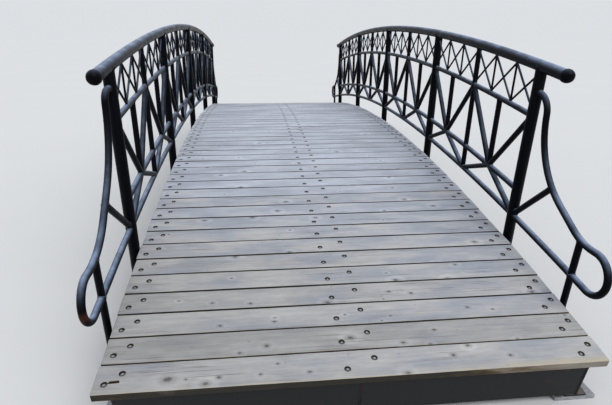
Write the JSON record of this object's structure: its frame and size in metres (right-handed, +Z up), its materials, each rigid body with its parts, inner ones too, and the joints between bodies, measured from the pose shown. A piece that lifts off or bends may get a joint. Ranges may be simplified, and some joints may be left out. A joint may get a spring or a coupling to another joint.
{
  "type": "arched wooden footbridge with tube railings",
  "caption": "Arched footbridge with a deck of cross boards on curved steel beams and black tube railings that end in scrolls.",
  "frame": {"origin": "on the ground under the middle of the bridge", "axes": "+Y along the walkway from the near end to the far end, +X across to the right, +Z up"},
  "size_m": [2.2672, 7.8852, 1.6466],
  "materials": {
    "boards": "weathered grey",
    "railing": "satin",
    "beams": "matt",
    "bearings": "dull galvanised",
    "bolts": "dull galvanised"
  },
  "bodies": {
    "root": {"deck_boards_1": "boards", "deck_boards_2": "boards", "deck_boards_3": "boards", "deck_boards_4": "boards", "deck_boards_5": "boards", "deck_boards_6": "boards", "left_beam": "beams", "centre_beam": "beams", "right_beam": "beams", "cross_braces": "beams", "end_braces": "beams", "near_bearings": "bearings", "far_bearings": "bearings", "right_handrail": "railing", "right_handrail_caps": "railing", "right_main_posts": "railing", "right_panel_1": "railing", "right_panel_2": "railing", "right_panel_3": "railing", "right_panel_4": "railing", "right_near_scroll": "railing", "right_far_scroll": "railing", "right_scroll_struts": "railing", "right_short_posts": "railing", "right_post_brackets": "beams", "left_handrail": "railing", "left_handrail_caps": "railing", "left_main_posts": "railing", "left_panel_1": "railing", "left_panel_2": "railing", "left_panel_3": "railing", "left_panel_4": "railing", "left_near_scroll": "railing", "left_far_scroll": "railing", "left_scroll_struts": "railing", "left_short_posts": "railing", "left_post_brackets": "beams"}
  },
  "joints": []
}
